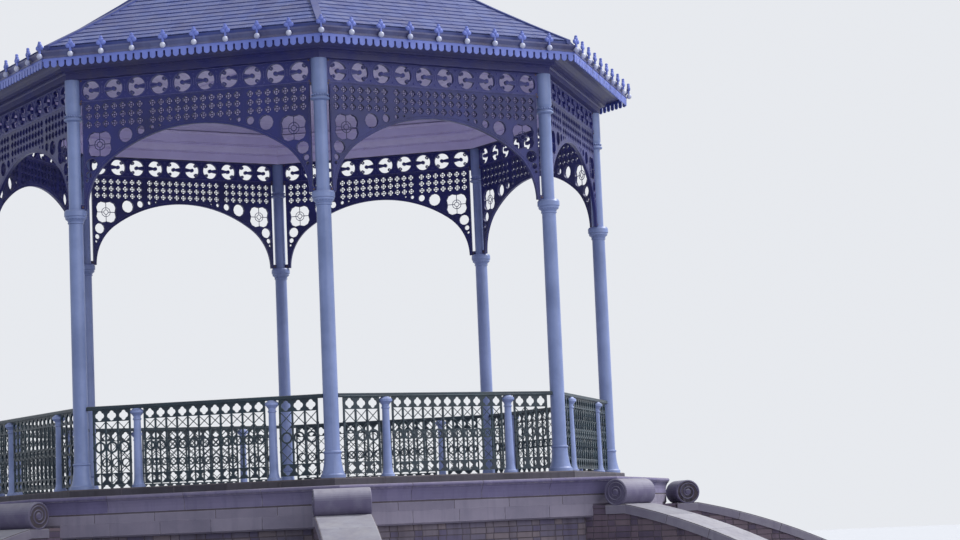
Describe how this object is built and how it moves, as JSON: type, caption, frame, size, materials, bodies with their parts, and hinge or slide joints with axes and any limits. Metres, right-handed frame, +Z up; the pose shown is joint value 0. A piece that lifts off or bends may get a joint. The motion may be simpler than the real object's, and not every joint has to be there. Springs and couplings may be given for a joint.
{
  "type": "octagonal bandstand",
  "caption": "Octagonal cast-iron bandstand with lacework arches, railings and a crested roof on a raised masonry base with scroll buttresses.",
  "frame": {"origin": "on the ground at the centre of the octagonal plan", "axes": "+Z up; bay 1 faces -Y and the bays run anticlockwise seen from above"},
  "size_m": [16.5728, 16.5728, 11.6288],
  "materials": {
    "brick": "weathered brown brick with pale joints",
    "buttress_brick": "weathered purple-brown brick",
    "coping_stone": "pale smooth stone, weathered",
    "edge_stone": "tan-pink dressed stone",
    "floor_tile": "worn floor tiles",
    "kerb_stone": "dark stone",
    "column_paint": "pale grey-white gloss paint on cast iron, slightly chalked",
    "post_paint": "pale grey-white gloss paint on cast iron",
    "rail_paint": "dark blue-green paint on cast iron",
    "lace_paint": "dark navy paint on cast iron",
    "frieze_paint": "dark indigo paint on cast iron",
    "beam_paint": "dark slate-violet paint",
    "cornice_paint": "pink-cream painted wood mouldings",
    "ceiling_paint": "pink-cream painted boards",
    "gutter_paint": "slate-blue paint",
    "trim_paint": "light blue paint",
    "roof_metal": "slate-blue painted sheet metal"
  },
  "bodies": {
    "root": {"base_walls": "brick", "buttress_walls": "buttress_brick", "buttress_copings": "coping_stone", "platform_edge": "edge_stone", "floor": "floor_tile", "kerb": "kerb_stone", "rail_posts": "post_paint", "ring_beam": "beam_paint", "cornice": "cornice_paint", "ceiling": "ceiling_paint", "gutter": "gutter_paint", "fringe": "trim_paint", "crest_ornaments": "trim_paint", "roof": "roof_metal", "finial": "trim_paint", "column_1": "column_paint", "frieze_1": "frieze_paint", "arch_lace_1": "lace_paint", "railing_1": "rail_paint", "column_2": "column_paint", "frieze_2": "frieze_paint", "arch_lace_2": "lace_paint", "railing_2": "rail_paint", "column_3": "column_paint", "frieze_3": "frieze_paint", "arch_lace_3": "lace_paint", "railing_3": "rail_paint", "column_4": "column_paint", "frieze_4": "frieze_paint", "arch_lace_4": "lace_paint", "railing_4": "rail_paint", "column_5": "column_paint", "frieze_5": "frieze_paint", "arch_lace_5": "lace_paint", "railing_5": "rail_paint", "column_6": "column_paint", "frieze_6": "frieze_paint", "arch_lace_6": "lace_paint", "railing_6": "rail_paint", "column_7": "column_paint", "frieze_7": "frieze_paint", "arch_lace_7": "lace_paint", "railing_7": "rail_paint", "column_8": "column_paint", "frieze_8": "frieze_paint", "arch_lace_8": "lace_paint", "railing_8": "rail_paint"}
  },
  "joints": []
}
